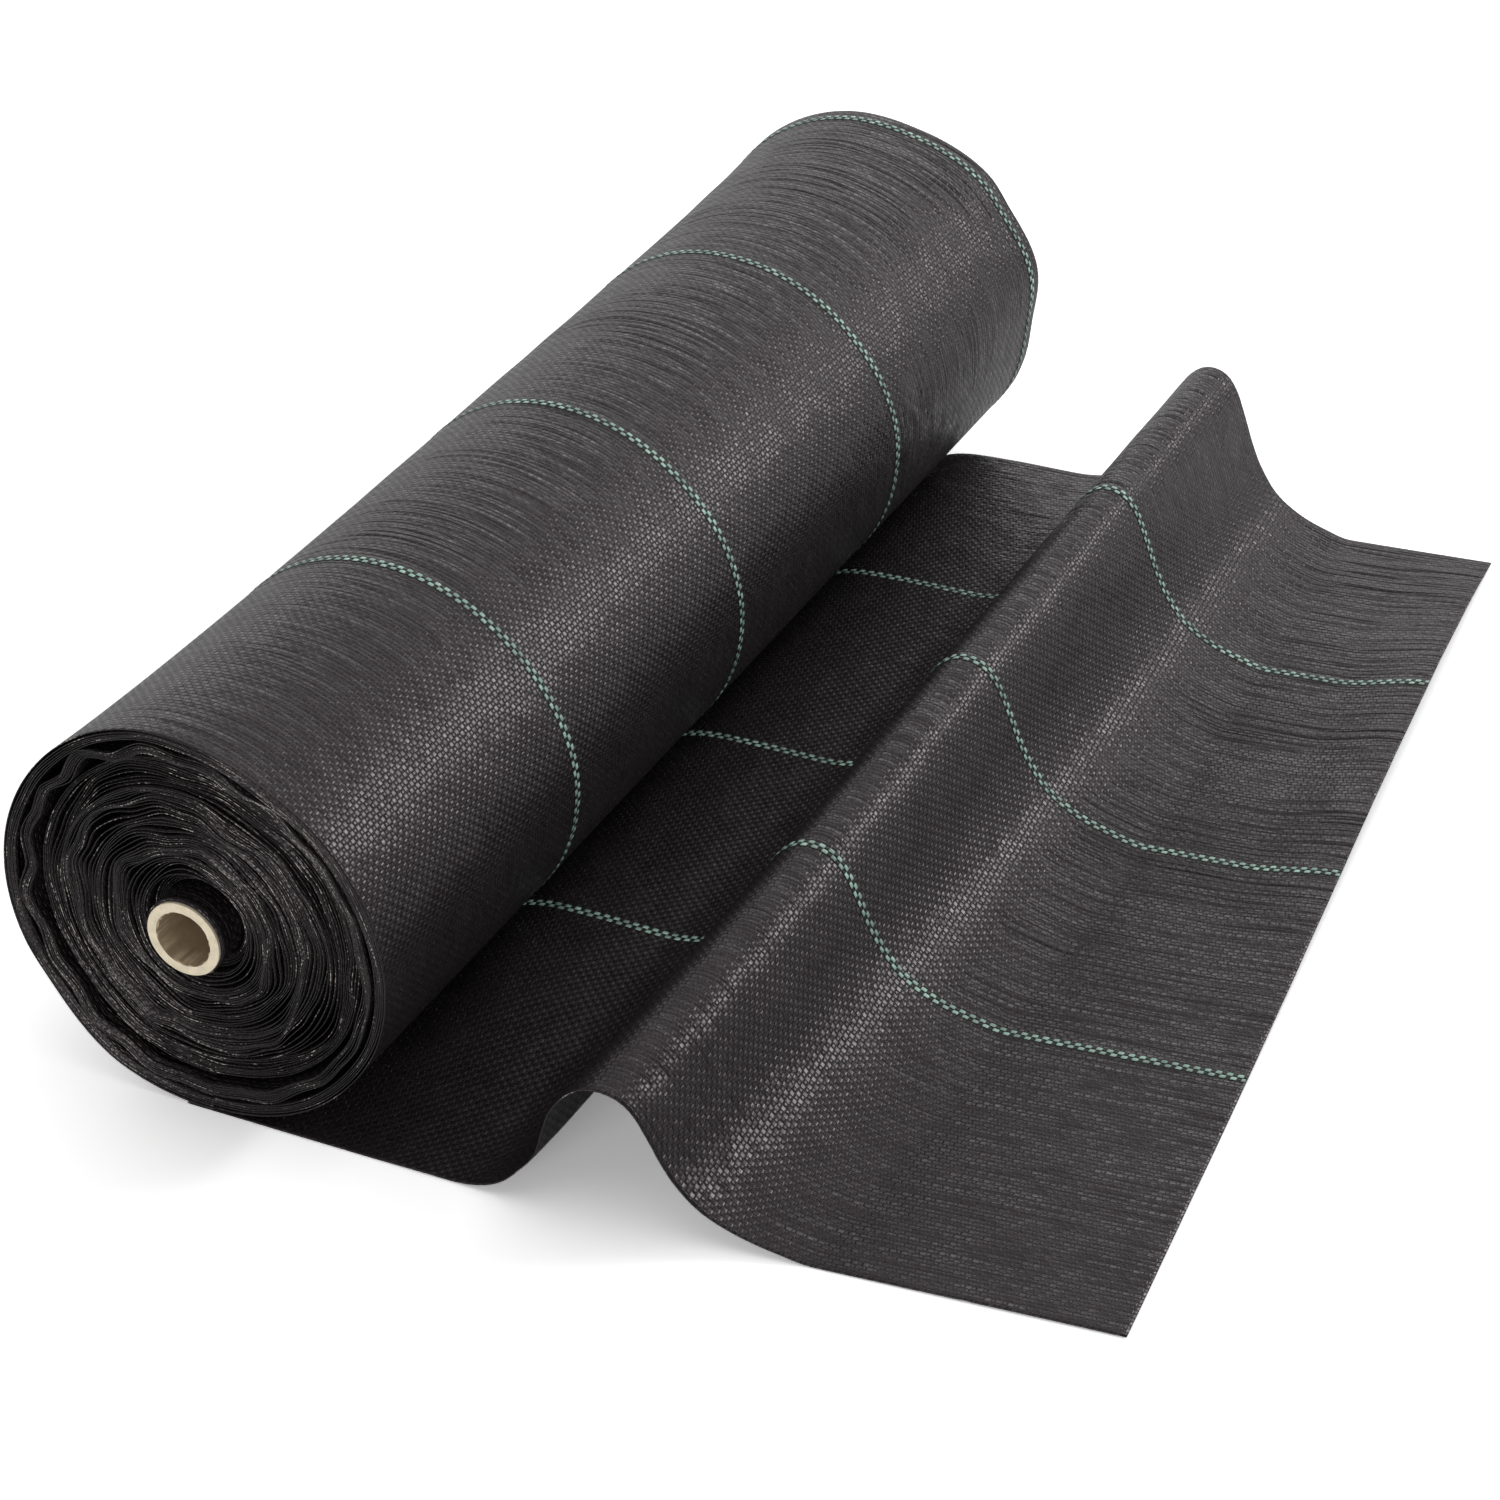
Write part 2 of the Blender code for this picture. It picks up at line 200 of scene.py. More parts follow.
class LaidSizes(bpy.types.PropertyGroup):
    laid_width: length_property("Laid width", "Width of the laid cloth", 0.9405)
    nip_tail: length_property("Tail under the roll",
                              "How far the laid cloth starts behind the axis", 0.020)
    free_end_reach: length_property("Free end",
                                    "Distance of the free end from the axis, near side", 0.608)
    swing: bpy.props.FloatProperty(
        name="Swing", description="Angle at which the cloth swings past the ridge",
        default=math.radians(5.5), unit="ROTATION")
    swing_start: length_property("Swing start", "Distance from the axis where the swing starts", 0.2265)
    ridge_place: length_property("Ridge place",
                                 "Distance of the ridge from the axis at the near side", 0.2755)
    ridge_skew: length_property("Ridge skew", "How much further out the ridge is at the far side", 0.018)
    ridge_heights: near_and_far_property("Ridge heights", "Height of the ridge", 0.098, 0.1305)
    roll_side: near_and_far_property("Roll side", "Half width of the ridge on the roll's side",
                                     0.0415, 0.0400)
    free_side: near_and_far_property("Free side", "Half width of the ridge on the free side",
                                     0.0505, 0.0419)
    slack_reach: length_property("Slack reach", "Where the slack cloth meets the ridge", 0.200)
    slack_lift: length_property("Slack lift", "Lift of the slack cloth away from the near edge", 0.026)
    curl_height: length_property("Curl height", "Lift of the free end", 0.012)
    curl_length: length_property("Curl length", "Length of the cloth that curls up", 0.070)


class WeaveSizes(bpy.types.PropertyGroup):
    tape_width: length_property("Tape width", "Spacing of the tapes across the cloth", 0.0035,
                                precision=5)
    pick_spacing: length_property("Pick spacing", "Spacing of the cross tapes along the cloth",
                                  0.0036, precision=5)
    float_share: bpy.props.FloatProperty(
        name="Float share", description="Share of a tape's length that lies over a cross tape",
        default=0.69, subtype="FACTOR", min=0.5, max=0.9)
    wound_tracers: shares_property("Tracers on the roll", "Places across the wound cloth",
                                   (0.243, 0.478, 0.734, 0.986))
    laid_tracers: shares_property("Tracers on the laid cloth", "Places across the laid cloth",
                                  (0.277, 0.521, 0.787))


class Finishes(bpy.types.PropertyGroup):
    tape_black: colour_property("Black tape", "Black polypropylene tape", "#1f1b1b")
    # Painted shade: the pits between the tapes, and the gaps between cut tape ends, get this near-black in
    # place of the shade that falls there
    crease_shade: colour_property("Crease", "Between the tapes, where little light gets in", "#020202")
    tracer_light: colour_property("Tracer float", "Green tape where it lies on top", "#9bbaae")
    # Painted shade: the green tape is darkened to this where it dips under a cross tape, in place of the
    # shade there
    tracer_dip_shade: colour_property("Tracer dip", "Green tape where it dips under a cross tape", "#06190f")
    # Light of fray at the tape ends, and painted glints: the bright specks on the cut edges
    frayed_end_and_glint: colour_property("Cut edge", "Cut ends of the tapes", "#d2ccc4")
    card_face: colour_property("Card face", "Cut end and outside of the cardboard core", "#e9dcc2")
    card_bore: colour_property("Card bore", "Inside of the cardboard core", "#b5a184")
    floor_white: colour_property("Floor", "Floor and backdrop", "#f0f0f0")


# Small helpers

def set_inputs(node, inputs):
    """Sets the inputs of a node; each is a value, or the node or socket that it reads."""
    for key, value in inputs.items():
        if isinstance(value, bpy.types.Node):
            value = value.outputs[0]
        if isinstance(value, bpy.types.NodeSocket):
            node.id_data.links.new(value, node.inputs[key])
        else:
            node.inputs[key].default_value = value


def add_node(tree, kind, inputs=None, **settings):
    """Adds a shader node with its settings and inputs. Inputs 1 to 4 of a MapRange are its
    range from and to, and what they are mapped to."""
    node = tree.nodes.new("ShaderNode" + kind)
    for name, value in settings.items():
        setattr(node, name, value)
    set_inputs(node, inputs or {})
    return node


def new_material(name):
    """A new material, its shader, and what adds a node to it."""
    material = bpy.data.materials.new(name)
    material.use_nodes = True
    tree = material.node_tree
    return material, tree.nodes["Principled BSDF"], partial(add_node, tree)


def made_once(name, make):
    """The named material, made on its first use."""
    return bpy.data.materials.get(name) or make(name)


def deselect_all():
    bpy.ops.object.select_all(action="DESELECT")


def make_active(piece):
    deselect_all()
    piece.select_set(True)
    bpy.context.view_layer.objects.active = piece


def ease(value):
    """Ease from 0 to 1 with level ends."""
    value = np.clip(value, 0.0, 1.0)
    return value * value * (3.0 - 2.0 * value)


def through(table, place):
    """Smooth curve through the points of a table, level at its two ends."""
    xs, ys = np.array(table, float).T
    slopes = np.zeros(len(xs))
    slopes[1:-1] = (ys[2:] - ys[:-2]) / (xs[2:] - xs[:-2])
    k = np.clip(np.searchsorted(xs, place, side="right") - 1, 0, len(xs) - 2)
    span = xs[k + 1] - xs[k]
    t = np.clip((place - xs[k]) / span, 0.0, 1.0)
    return ((2 * t**3 - 3 * t**2 + 1) * ys[k] + (t**3 - 2 * t**2 + t) * span * slopes[k]
            + (3 * t**2 - 2 * t**3) * ys[k + 1] + (t**3 - t**2) * span * slopes[k + 1])


def unevenness(a, b, seed, wrap=256):
    """Smooth noise of about -1 to 1 on a lattice of unit cells, repeating after wrap along a."""
    table = np.random.RandomState(seed).uniform(-1.0, 1.0, (wrap, 256))
    i, j = np.floor(a).astype(int), np.floor(b).astype(int)
    s, t = a - i, b - j
    # Weights of the cubic spline through four lattice points each way
    weights = [[(1 - x)**3 / 6, (3 * x**3 - 6 * x**2 + 4) / 6,
                (-3 * x**3 + 3 * x**2 + 3 * x + 1) / 6, x**3 / 6] for x in (s, t)]
    total = 0.0
    for p in range(4):
        for q in range(4):
            total = total + (weights[0][p] * weights[1][q] * table[(i + p) % wrap, (j + q) % 256])
    return 1.8 * total


def length_run(line):
    """Length run along a line of points, at each of them."""
    return np.concatenate([[0.0], np.cumsum(np.linalg.norm(np.diff(line, axis=0), axis=1))])


def cloth_grid(name, points, u, v, materials, thickness, offset, slack=0.0):
    """Sheet over a grid of points with its UV map in metres, given its thickness by Solidify.
    Slack says how strongly the cloth wrinkles at each point, and how many painted glints its cut edges
    get."""
    rows, columns = points.shape[:2]
    index = np.arange(rows * columns).reshape(rows, columns)
    quads = np.stack([index[:-1, :-1], index[1:, :-1], index[1:, 1:], index[:-1, 1:]], -1).reshape(-1, 4)
    mesh = bpy.data.meshes.new(name)
    mesh.from_pydata(points.reshape(-1, 3).tolist(), [], quads.tolist())
    layer = mesh.uv_layers.new(name="cloth")
    flat = np.stack([np.broadcast_to(u, (rows, columns)).reshape(-1),
                     np.broadcast_to(v, (rows, columns)).reshape(-1)], -1)
    layer.data.foreach_set("uv", flat[quads.reshape(-1)].astype(np.float32).reshape(-1))
    layer = mesh.attributes.new("slack", "FLOAT", "POINT")
    layer.data.foreach_set("value", np.broadcast_to(slack, (rows, columns)).reshape(-1)
                           .astype(np.float32))
    mesh.shade_smooth()
    piece = bpy.data.objects.new(name, mesh)
    bpy.context.scene.collection.objects.link(piece)
    for material in materials:
        mesh.materials.append(material)
    make_active(piece)
    wall = piece.modifiers.new("cloth thickness", "SOLIDIFY")
    wall.thickness = thickness
    wall.offset = offset
    wall.use_rim = True
    wall.material_offset_rim = len(materials) - 1
    bpy.ops.object.modifier_apply(modifier=wall.name)
    return piece


# Surfaces of the laid cloth and of the outermost turn

def ridge_crest(laid, v):
    """Distance of the ridge's crest from the axis at share v of the width."""
    return laid.ridge_place + laid.ridge_skew * (1 - (1 - v)**5)


def free_end(laid, v):
    """Distance of the free end from the axis at share v of the width."""
    return laid.free_end_reach - math.tan(laid.swing) * v * laid.laid_width


def laid_surface(laid, x, v):
    """Points of the laid cloth's middle at x from the roll's axis and share v of the width."""
    x, v = np.broadcast_arrays(np.asarray(x, float), np.asarray(v, float))
    slope = math.tan(laid.swing)
    near = slope * np.maximum(x - laid.swing_start, 0.0)
    y = near + v * (laid.laid_width + slope * x - near)
    height = laid.ridge_heights[1] - (laid.ridge_heights[1] - laid.ridge_heights[0]) * (1 - v)**3
    crest = ridge_crest(laid, v)
    roll_side = laid.roll_side[0] + (laid.roll_side[1] - laid.roll_side[0]) * v
    free_side = laid.free_side[0] + (laid.free_side[1] - laid.free_side[0]) * v**2
    rise = np.where(x < crest, through(ROLL_SIDE_SHARES, (x - crest) / roll_side),
                    through(FREE_SIDE_SHARES, (x - crest) / free_side))
    slack = slack_height(laid, x) * ease(v / SLACK_EDGE_SHARE)
    slack = slack * (1 - ease((x - laid.slack_reach) / (crest - laid.slack_reach)))
    across = np.maximum(v - CURL_START_SHARE, 0.0) / (1 - CURL_START_SHARE)
    # The factor makes this cubic 1 at its highest, two thirds of the way across
    bow = 27 / 4 * across**2 * (1 - across)
    curl = laid.curl_height * bow * ease(1 - (free_end(laid, v) - x) / laid.curl_length)
    z = slack + (height - slack) * rise + curl
    soft = 0.5 + 0.5 * unevenness(x / SOFT_WAVE_LENGTH, v * laid.laid_width / SOFT_WAVE_WIDTH, 11)
    z = z + MM * soft * ease((x - SOFT_WAVE_START) / SOFT_WAVE_RISE)
    return np.stack([x - ORIGIN_X, y - ORIGIN_Y, z + 0.5 * MM], -1)


def slack_height(laid, x):
    """Height of the slack cloth away from its near edge, held down under the roll's flank."""
    lift = laid.slack_lift * through(SLACK_SHARES, x / laid.slack_reach)
    radius = bpy.context.scene.roll_sizes.roll_radius
    inside = np.abs(x) < radius
    # The small length keeps the smooth minimum below from dividing nought by nought
    flank = FLANK_SHARE * (radius - np.sqrt(np.maximum(radius**2 - x**2, 0.0))) + 1e-9
    held = lift * flank / (lift**4 + flank**4)**0.25
    return np.where(inside, held, lift)


def laid_slack(laid, x, v):
    """How strongly the laid cloth wrinkles: past the ridge, and most of all at its far side."""
    crest = ridge_crest(laid, v)
    pull = ease((x - crest - 0.05) / 0.09) * (0.25 + 0.75 * ease((v - 0.15) / 0.35))
    loose = 0.35 * ease((x - 0.08) / 0.05) * (1 - ease((x - crest) / 0.04))
    return np.maximum(pull, loose)


def lumps(angle, place, share, sizes):
    """How far a turn at a share of the roll's radius is out of round, in metres."""
    degrees = np.degrees(angle)
    near = np.exp(-np.maximum(place, 0) / NEAR_LUMP_REACH)
    far = np.exp(-np.maximum(sizes.cloth_width - place, 0) / FAR_LUMP_REACH)
    out = (near * through(NEAR_END_LUMPS, degrees) + far * through(FAR_END_LUMPS, degrees)
           + (1 - near) * (1 - far) * through(MIDDLE_LUMPS, degrees))
    level = ease((100 - degrees) / 30) * ease((degrees + 170) / 40)
    # Soft lumps every 30 degrees and 160 mm, but none from the nip to the underside
    soft = 0.6 * unevenness((degrees + 180) / 30, place / 0.16, 21, wrap=12) * level
    return MM * share**2 * (out + soft)


def roll_surface(sizes, turned, place):
    """Points of the outermost turn's outside, by angle from its tail round the back."""
    turned, place = np.broadcast_arrays(turned, place)
    angle = turned - math.pi
    radius = sizes.roll_radius - sizes.turn_pitch * turned / FULL_TURN
    radius = radius + lumps(angle, place, 1.0, sizes)
    # Soft folds some 120 mm long and 30 mm apart where the turn is slack
    soft = 0.25 * unevenness(sizes.roll_radius * turned / 0.12, place / 0.03, 32)
    radius = radius + MM * (soft - 0.2) * roll_slack(turned, place)
    return np.stack([radius * np.sin(angle) - ORIGIN_X, place - ORIGIN_Y,
                     sizes.axis_height + radius * np.cos(angle)], -1)


def roll_slack(turned, place):
    """How strongly the outermost turn wrinkles: on its back and top, and at the far end."""
    degrees = np.degrees(turned) - 180
    back = ease((degrees + 165) / 30) * (1 - ease((degrees + 5) / 40))
    back = back * (0.45 + 0.55 * ease((place - 0.1) / 0.25))
    far = 0.6 * ease((place - 0.72) / 0.2) * (1 - ease((degrees - 75) / 30))
    return np.maximum(back, far) * ease((degrees + 175) / 20)


# Materials

def weave_pattern(add, place):
    """Plain weave at a place on the cloth: its tapes stand high where they lie over a cross
    tape and dip between, and tapes side by side float half a cycle apart."""
    weave = bpy.context.scene.weave_sizes
    column = add("Math", {0: place.outputs["Y"], 1: weave.tape_width}, operation="DIVIDE")
    column_number = add("Math", {0: column}, operation="FLOOR")
    half_step = add("Math", {0: column_number, 1: 0.5}, operation="MULTIPLY")
    cycle = add("Math", {0: place.outputs["X"], 1: 0.5 / weave.pick_spacing, 2: half_step},
                operation="MULTIPLY_ADD")
    cell_number = add("Math", {0: cycle}, operation="FLOOR")
    across, along = [add("Math", {0: at}, operation="FRACT") for at in (column, cycle)]
    centred = add("Math", {0: across, 1: 2.0, 2: -1.0}, operation="MULTIPLY_ADD")
    # Along a float of a tape, and along the float of the cross tape that follows it: -1 to 1
    over, under = [add("MapRange", {"Value": along, 1: start, 2: end, 3: -1.0, 4: 1.0}, clamp=False)
                   for start, end in ((0.0, weave.float_share), (weave.float_share, 1.0))]
    # A tape's float is arched along the cloth and flat across it, a cross tape's the other way
    arches = [add("Math", {0: at, 1: at}, operation="MULTIPLY") for at in (over, centred, under)]
    arches[0] = add("Math", {0: arches[0], 1: 1.7}, operation="POWER")
    over_arch, flat_arch, under_arch = [
        add("Math", {0: 1.0, 1: arch}, operation="SUBTRACT", use_clamp=True) for arch in arches]
    tape_edge, cross_edge = [add("MapRange", {"Value": arch, 1: 0.0, 2: 0.5, 3: 0.0, 4: 1.0},
                                 interpolation_type="SMOOTHSTEP") for arch in (flat_arch, under_arch)]
    over_shape, cross_shape = [add("Math", {0: arch, 1: edge}, operation="MULTIPLY")
                               for arch, edge in ((over_arch, tape_edge), (flat_arch, cross_edge))]
    low_cross = add("Math", {0: cross_shape, 1: 0.7}, operation="MULTIPLY")
    shape = add("Math", {0: over_shape, 1: low_cross}, operation="MAXIMUM")
    on_top = add("Math", {0: along, 1: weave.float_share}, operation="LESS_THAN")
    return {"column": column_number, "cell": cell_number, "across": centred, "along": over,
            "shape": shape, "on_top": on_top}


def tape_tilt(add, place, pattern):
    """How far a float leans out of the cloth, as no two lie alike and each tape twists a little
    along its way, and a number between 0 and 1 drawn for the float."""
    cell = add("CombineXYZ", {0: pattern["column"], 1: pattern["cell"]})
    chance = add("TexWhiteNoise", {"Vector": cell}, noise_dimensions="2D")
    drawn = add("SeparateXYZ", {0: chance.outputs["Color"]})
    way = add("Math", {0: place.outputs["X"], 1: 28.0}, operation="MULTIPLY")
    tape = add("Math", {0: pattern["column"], 1: 0.73}, operation="MULTIPLY")
    tape_way = add("CombineXYZ", {0: way, 1: tape})
    twist = add("TexNoise", {"Vector": tape_way, "Scale": 1.0, "Detail": 1.0}, noise_dimensions="2D")
    twist_more = add("MapRange", {"Value": twist.outputs["Fac"], 1: 0.25, 2: 0.75, 3: -0.6, 4: 0.6})
    lean, lean_over = [add("Math", {0: drawn.outputs[axis], 1: 0.5}, operation="SUBTRACT")
                       for axis in ("X", "Y")]
    turn_over = add("Math", {0: lean_over, 1: twist_more}, operation="ADD")
    leaning = add("Math", {0: lean, 1: pattern["along"]}, operation="MULTIPLY")
    tilted = add("Math", {0: turn_over, 1: pattern["across"], 2: leaning}, operation="MULTIPLY_ADD")
    return tilted, drawn.outputs["Z"]


def stretched_noise(add, uv, along, across, detail, roughness=0.5):
    """Noise on the cloth, with so many cells to a metre along it and across it."""
    stretched = add("Mapping", {0: uv, "Scale": (along, across, 1.0)})
    noise = add("TexNoise", {"Vector": stretched, "Scale": 1.0, "Detail": detail, "Roughness": roughness})
    return noise.outputs["Fac"]


def wrinkles(add, uv):
    """Tension wrinkles along the cloth, sharp at their creases and in groups. They are as
    strong as the attribute slack says that the cloth is slack there."""
    folds = []
    # Fine ones about 110 mm long and 8 mm apart, and coarse ones of 200 mm and 13 mm
    for along, across, detail in ((9.0, 130.0, 2.0), (5.0, 75.0, 1.0)):
        noise = stretched_noise(add, uv, along, across, detail, 0.55)
        signed = add("Math", {0: noise, 1: 0.5}, operation="SUBTRACT")
        folds.append(add("Math", {0: signed}, operation="ABSOLUTE"))
    folded = add("Math", {0: folds[1], 1: 1.6, 2: folds[0]}, operation="MULTIPLY_ADD")
    # Groups of them lie about 250 mm by 70 mm
    in_group = add("MapRange", {"Value": stretched_noise(add, uv, 4.0, 14.0, 1.0),
                                1: 0.35, 2: 0.65, 3: 0.25, 4: 1.3})
    slack = add("Attribute", attribute_name="slack")
    grouped = add("Math", {0: slack.outputs["Fac"], 1: in_group}, operation="MULTIPLY")
    return add("Math", {0: folded, 1: grouped}, operation="MULTIPLY")


def woven_tape(name, light, cross, pit_shade, roughness, sheen):
    """Polypropylene tape in plain weave: flat extruded tape, slightly shiny, crowned where it
    lies over a cross tape, with painted shade where it dips and in the pits between tapes. Reads
    the cloth's own UV map, in metres, and its "slack", which is how strongly the cloth wrinkles there."""
    material, shader, add = new_material(name)
    uv = add("UVMap", uv_map="cloth")
    place = add("SeparateXYZ", {0: uv})
    pattern = weave_pattern(add, place)
    shape = pattern["shape"]
    tilted, drawn = tape_tilt(add, place, pattern)
    wave = add("TexNoise", {"Vector": uv, "Scale": 28.0, "Detail": 2.0})
    # Heights of the tapes' crowns, of their tilt, of soft waves and of the wrinkles
    height = add("Math", {0: shape, 1: 0.42 * MM}, operation="MULTIPLY")
    for share, full in ((tilted, 0.20), (wave.outputs["Fac"], 2.2), (wrinkles(add, uv), 5.5)):
        height = add("Math", {0: share, 1: full * MM, 2: height}, operation="MULTIPLY_ADD")
    bump = add("Bump", {"Strength": 1.0, "Distance": 1.0, "Height": height})
    # Dust and handling change the shade and the shine from place to place
    float_shade, wave_shade = [
        add("MapRange", {"Value": value, 1: low, 2: high, 3: dim, 4: bright})
        for value, low, high, dim, bright in ((drawn, 0.0, 1.0, 0.7, 1.3),
                                              (wave.outputs["Fac"], 0.3, 0.7, 0.75, 1.25))]
    shade = add("Math", {0: wave_shade, 1: float_shade}, operation="MULTIPLY")
    # Painted shade: the colour darkens where the tapes sink, in the dips and in the pits between the
    # floats
    depth = add("MapRange", {"Value": shape, 1: 0.22, 2: 0.85, 3: 0.0, 4: 1.0},
                interpolation_type="SMOOTHSTEP")
    # For the green tape the cross colour is painted shade, where the tape dips under a cross tape
    tape_colour = add("Mix", {0: pattern["on_top"], 6: (*cross, 1.0), 7: (*light, 1.0)}, data_type="RGBA")
    colour = add("Mix", {0: depth, 6: (*pit_shade, 1.0), 7: tape_colour.outputs[2]}, data_type="RGBA")
    varied = add("VectorMath", {0: colour.outputs[2], "Scale": shade}, operation="SCALE")
    rough = add("MapRange", {"Value": shape, 1: 0.15, 2: 0.75, 3: 0.6, 4: roughness})
    roughened = add("Math", {0: drawn, 1: -0.10, 2: rough}, operation="MULTIPLY_ADD")
    set_inputs(shader, {"Base Color": varied, "Roughness": roughened, "Normal": bump})
    shader.inputs["Specular IOR Level"].default_value = sheen
    shader.inputs["Specular Tint"].default_value = (1.0, 0.89, 0.93, 1.0)
    shader.inputs["IOR"].default_value = 1.49
    return material


def black_cloth():
    finish = bpy.context.scene.finishes
    return made_once("black woven polypropylene tape", lambda name: woven_tape(
        name, finish.tape_black, finish.tape_black, finish.crease_shade, 0.34, 0.5))


def green_tape():
    finish = bpy.context.scene.finishes
    return made_once("green woven polypropylene tracer tape", lambda name: woven_tape(
        name, finish.tracer_light, finish.tracer_dip_shade, finish.tracer_dip_shade, 0.40, 0.5))


def frayed_tape_with_painted_glints(name):
    """Cut ends of black tape with a little fray, and painted glints: bright specks in the colour, most at
    the upper right and lower left of the roll's ends.
    """
    finish = bpy.context.scene.finishes
    material, shader, add = new_material(name)
    uv = add("UVMap", uv_map="cloth")
    # Tape ends every few mm along the edge; some lengths of it have more fray than others and more painted
    # glints
    ends = stretched_noise(add, uv, 520.0, 60.0, 2.0)
    lengths = stretched_noise(add, uv, 24.0, 5.0, 2.0)
    # Painted glints: where the slack attribute is high there are more bright specks; on the wound turns it
    # is high at the upper right and lower left of the roll's ends
    slack_and_glint_sectors = add("Attribute", attribute_name="slack")
    loose = add("Math", {0: slack_and_glint_sectors.outputs["Fac"], 1: 0.10, 2: lengths}, operation="MULTIPLY_ADD")
    fray_and_glint = add("MapRange", {"Value": loose, 1: 0.40, 2: 0.70, 3: 0.36, 4: 1.0})
    both = add("Math", {0: ends, 1: fray_and_glint}, operation="MULTIPLY")
    # From painted shade between the tape ends, through the tape's black, to light fray with painted glints
    # on it
    ramp = add("ValToRGB", {"Fac": both})
    stops = ramp.color_ramp.elements
    stops[0].position, stops[1].position = 0.10, 0.61
    stops.new(0.42)
    for stop, colour in zip(stops, (finish.crease_shade, finish.tape_black, finish.frayed_end_and_glint)):
        stop.color = (*colour, 1.0)
    bump = add("Bump", {"Strength": 1.0, "Distance": 1.6 * MM, "Height": ends})
    set_inputs(shader, {"Base Color": ramp, "Normal": bump})
    shader.inputs["Roughness"].default_value = 0.30
    return material


def cut_cloth_edge():
    return made_once("cut polypropylene tape edge", frayed_tape_with_painted_glints)


def cardboard(name, base, plies):
    """Spiral wound core board: matt recycled paper, with fibres and thin ply lines."""
    material, shader, add = new_material(name)
    at = add("TexCoord")
    centred = add("Mapping", {0: at.outputs["Object"],
                              "Location": (ORIGIN_X, 0.0, -bpy.context.scene.roll_sizes.axis_height)})
    fibre = add("TexNoise", {"Vector": centred, "Scale": 900.0, "Detail": 4.0, "Roughness": 0.7})
    blotch = add("TexNoise", {"Vector": centred, "Scale": 140.0, "Detail": 3.0})
    mixed = add("Math", {0: fibre.outputs["Fac"], 1: 0.5, 2: blotch.outputs["Fac"]},
                operation="MULTIPLY_ADD")
    shade = add("MapRange", {"Value": mixed, 1: 0.45, 2: 1.05, 3: 0.78, 4: 1.12})
    part = add("SeparateXYZ", {0: centred})
    if plies:
        # Cut plies 1 mm thick show as rings
        flat = add("CombineXYZ", {0: part.outputs["X"], 1: part.outputs["Z"]})
        radius = add("VectorMath", {0: flat}, operation="LENGTH")
        wave_at = add("Math", {0: radius.outputs["Value"], 1: 6300.0}, operation="MULTIPLY")
    else:
        # The seam of the innermost ply runs round once in 90 mm
        turn = add("Math", {0: part.outputs["X"], 1: part.outputs["Z"]}, operation="ARCTAN2")
        wave_at = add("Math", {0: part.outputs["Y"], 1: 70.0, 2: turn}, operation="MULTIPLY_ADD")
    wave = add("Math", {0: wave_at}, operation="SINE")
    line = add("MapRange", {"Value": wave, 1: -1.0, 2: -0.6, 3: 0.95, 4: 1.0})
    both = add("Math", {0: shade, 1: line}, operation="MULTIPLY")
    varied = add("VectorMath", {0: tuple(base), "Scale": both}, operation="SCALE")
    bump = add("Bump", {"Strength": 0.6, "Distance": 0.3 * MM, "Height": mixed})
    set_inputs(shader, {"Base Color": varied, "Normal": bump})
    shader.inputs["Roughness"].default_value = 0.85
    shader.inputs["Specular IOR Level"].default_value = 0.3
    return material


# Operators: one for each piece or group of like pieces, with the functions that shape it

def core_middle(sizes):
    return sizes.cloth_width / 2 - sizes.core_slip - ORIGIN_Y


def plain_tube(sizes):
    """Core tube with three rings at each cut end, bridged through its bore."""
    deselect_all()
    bpy.ops.mesh.primitive_cylinder_add(
        vertices=128, radius=sizes.core_radius, depth=sizes.cloth_width, end_fill_type="NGON",
        location=(-ORIGIN_X, core_middle(sizes), sizes.axis_height), rotation=(math.pi / 2, 0.0, 0.0))
    piece = bpy.context.active_object
    piece.name = piece.data.name = "core_tube_board"
    bpy.ops.object.transform_apply(location=True, rotation=True, scale=True)
    bpy.ops.object.mode_set(mode="EDIT")
    bpy.ops.mesh.select_mode(type="FACE")
    bpy.ops.mesh.select_all(action="DESELECT")
    bpy.ops.object.mode_set(mode="OBJECT")
    for face in piece.data.polygons:
        face.select = abs(face.normal.y) > 0.9
    bpy.ops.object.mode_set(mode="EDIT")
    for step in (EDGE_RING, sizes.core_wall - 2 * EDGE_RING, EDGE_RING):
        bpy.ops.mesh.inset(thickness=step, depth=0.0)
    bpy.ops.mesh.bridge_edge_loops(number_cuts=60)
    bpy.ops.object.mode_set(mode="OBJECT")
    return piece


def paint_tube(mesh, sizes):
    """The bore has a board of its own, browner than the cut ends and the outside."""
    finish = bpy.context.scene.finishes
    mesh.materials.append(cardboard("cut end of core board", finish.card_face, True))
    mesh.materials.append(cardboard("spiral wound core board", finish.card_bore, False))
    bore = sizes.core_radius - sizes.core_wall + EDGE_RING / 2
    for face in mesh.polygons:
        away = math.hypot(face.center.x + ORIGIN_X, face.center.z - sizes.axis_height)
        face.material_index = 1 if away < bore else 0


